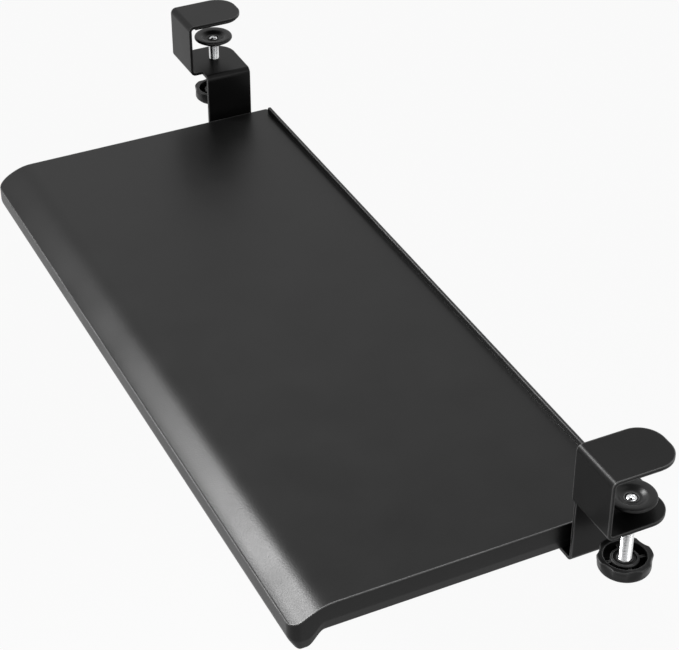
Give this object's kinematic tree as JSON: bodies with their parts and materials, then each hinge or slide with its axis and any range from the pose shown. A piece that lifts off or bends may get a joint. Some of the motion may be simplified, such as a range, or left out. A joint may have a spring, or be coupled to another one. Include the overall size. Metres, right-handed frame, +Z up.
{
  "type": "under-desk keyboard tray",
  "caption": "Clamp-on under-desk keyboard tray: moulded deck with a sloped wrist edge and a rear lip, sliding on ball slides hung from C-clamp brackets with hand-knob screws.",
  "frame": {"origin": "middle of the tray's top surface, with the tray pulled out", "axes": "+X to the user's right along the tray, +Y away from the user towards the desk and along the slide, +Z up"},
  "size_m": [0.82, 0.288, 0.1335],
  "materials": {
    "tray_plastic": "fine-grained satin",
    "coated_steel": "satin powder coat",
    "rail_steel": "zinc plated",
    "cage_steel": "zinc plated",
    "ball_steel": "polished",
    "zinc_steel": "bright zinc",
    "stop_rubber": "matt",
    "pad_rubber": "matt",
    "pad_plastic": "satin",
    "knob_plastic": "satin"
  },
  "bodies": {
    "brackets": {"left_clamp_bracket": "coated_steel", "right_clamp_bracket": "coated_steel", "left_jaw_pad": "pad_rubber", "right_jaw_pad": "pad_rubber", "left_weld_nut": "coated_steel", "right_weld_nut": "coated_steel", "left_runner": "rail_steel", "right_runner": "rail_steel", "left_runner_rivets": "zinc_steel", "right_runner_rivets": "zinc_steel"},
    "sliding_tray": {"tray": "tray_plastic", "left_rail": "rail_steel", "right_rail": "rail_steel", "left_rail_screws": "zinc_steel", "right_rail_screws": "zinc_steel", "left_rail_stops": "stop_rubber", "right_rail_stops": "stop_rubber"},
    "left_cage": {"left_ball_cage": "cage_steel", "left_balls": "ball_steel"},
    "right_cage": {"right_ball_cage": "cage_steel", "right_balls": "ball_steel"},
    "left_pad": {"left_swivel_pad": "pad_plastic"},
    "right_pad": {"right_swivel_pad": "pad_plastic"},
    "left_screw": {"left_clamp_screw": "zinc_steel", "left_pad_screw": "zinc_steel", "left_knob": "knob_plastic", "left_knob_nut": "zinc_steel"},
    "right_screw": {"right_clamp_screw": "zinc_steel", "right_pad_screw": "zinc_steel", "right_knob": "knob_plastic", "right_knob_nut": "zinc_steel"}
  },
  "joints": [
    {"name": "tray_slide", "type": "slide", "parent": "brackets", "child": "sliding_tray", "axis": [0, 1, 0], "range_m": [0, 0.186]},
    {"name": "left_cage_slide", "type": "slide", "parent": "brackets", "child": "left_cage", "axis": [0, 1, 0], "range_m": [0, 0.0931]},
    {"name": "right_cage_slide", "type": "slide", "parent": "brackets", "child": "right_cage", "axis": [0, 1, 0], "range_m": [0, 0.0931]},
    {"name": "left_pad_slide", "type": "slide", "parent": "brackets", "child": "left_pad", "axis": [0, 0, 1], "range_m": [-0.0167, 0.0207]},
    {"name": "right_pad_slide", "type": "slide", "parent": "brackets", "child": "right_pad", "axis": [0, 0, 1], "range_m": [-0.0027, 0.0347]},
    {"name": "left_screw_turn", "type": "hinge", "parent": "left_pad", "child": "left_screw", "pos_m": [-0.386, 0.106, 0.03], "axis": [0, 0, 1], "range_deg": [-4009, 4969]},
    {"name": "right_screw_turn", "type": "hinge", "parent": "right_pad", "child": "right_screw", "pos_m": [0.386, 0.106, 0.03], "axis": [0, 0, 1], "range_deg": [-649, 8329]}
  ],
  "couplings": [
    {"joint": "left_cage_slide", "follows": "tray_slide", "ratio": 0.5},
    {"joint": "right_cage_slide", "follows": "tray_slide", "ratio": 0.5},
    {"joint": "left_screw_turn", "follows": "left_pad_slide", "rad_per_m": 4188.8},
    {"joint": "right_screw_turn", "follows": "right_pad_slide", "rad_per_m": 4188.8}
  ]
}
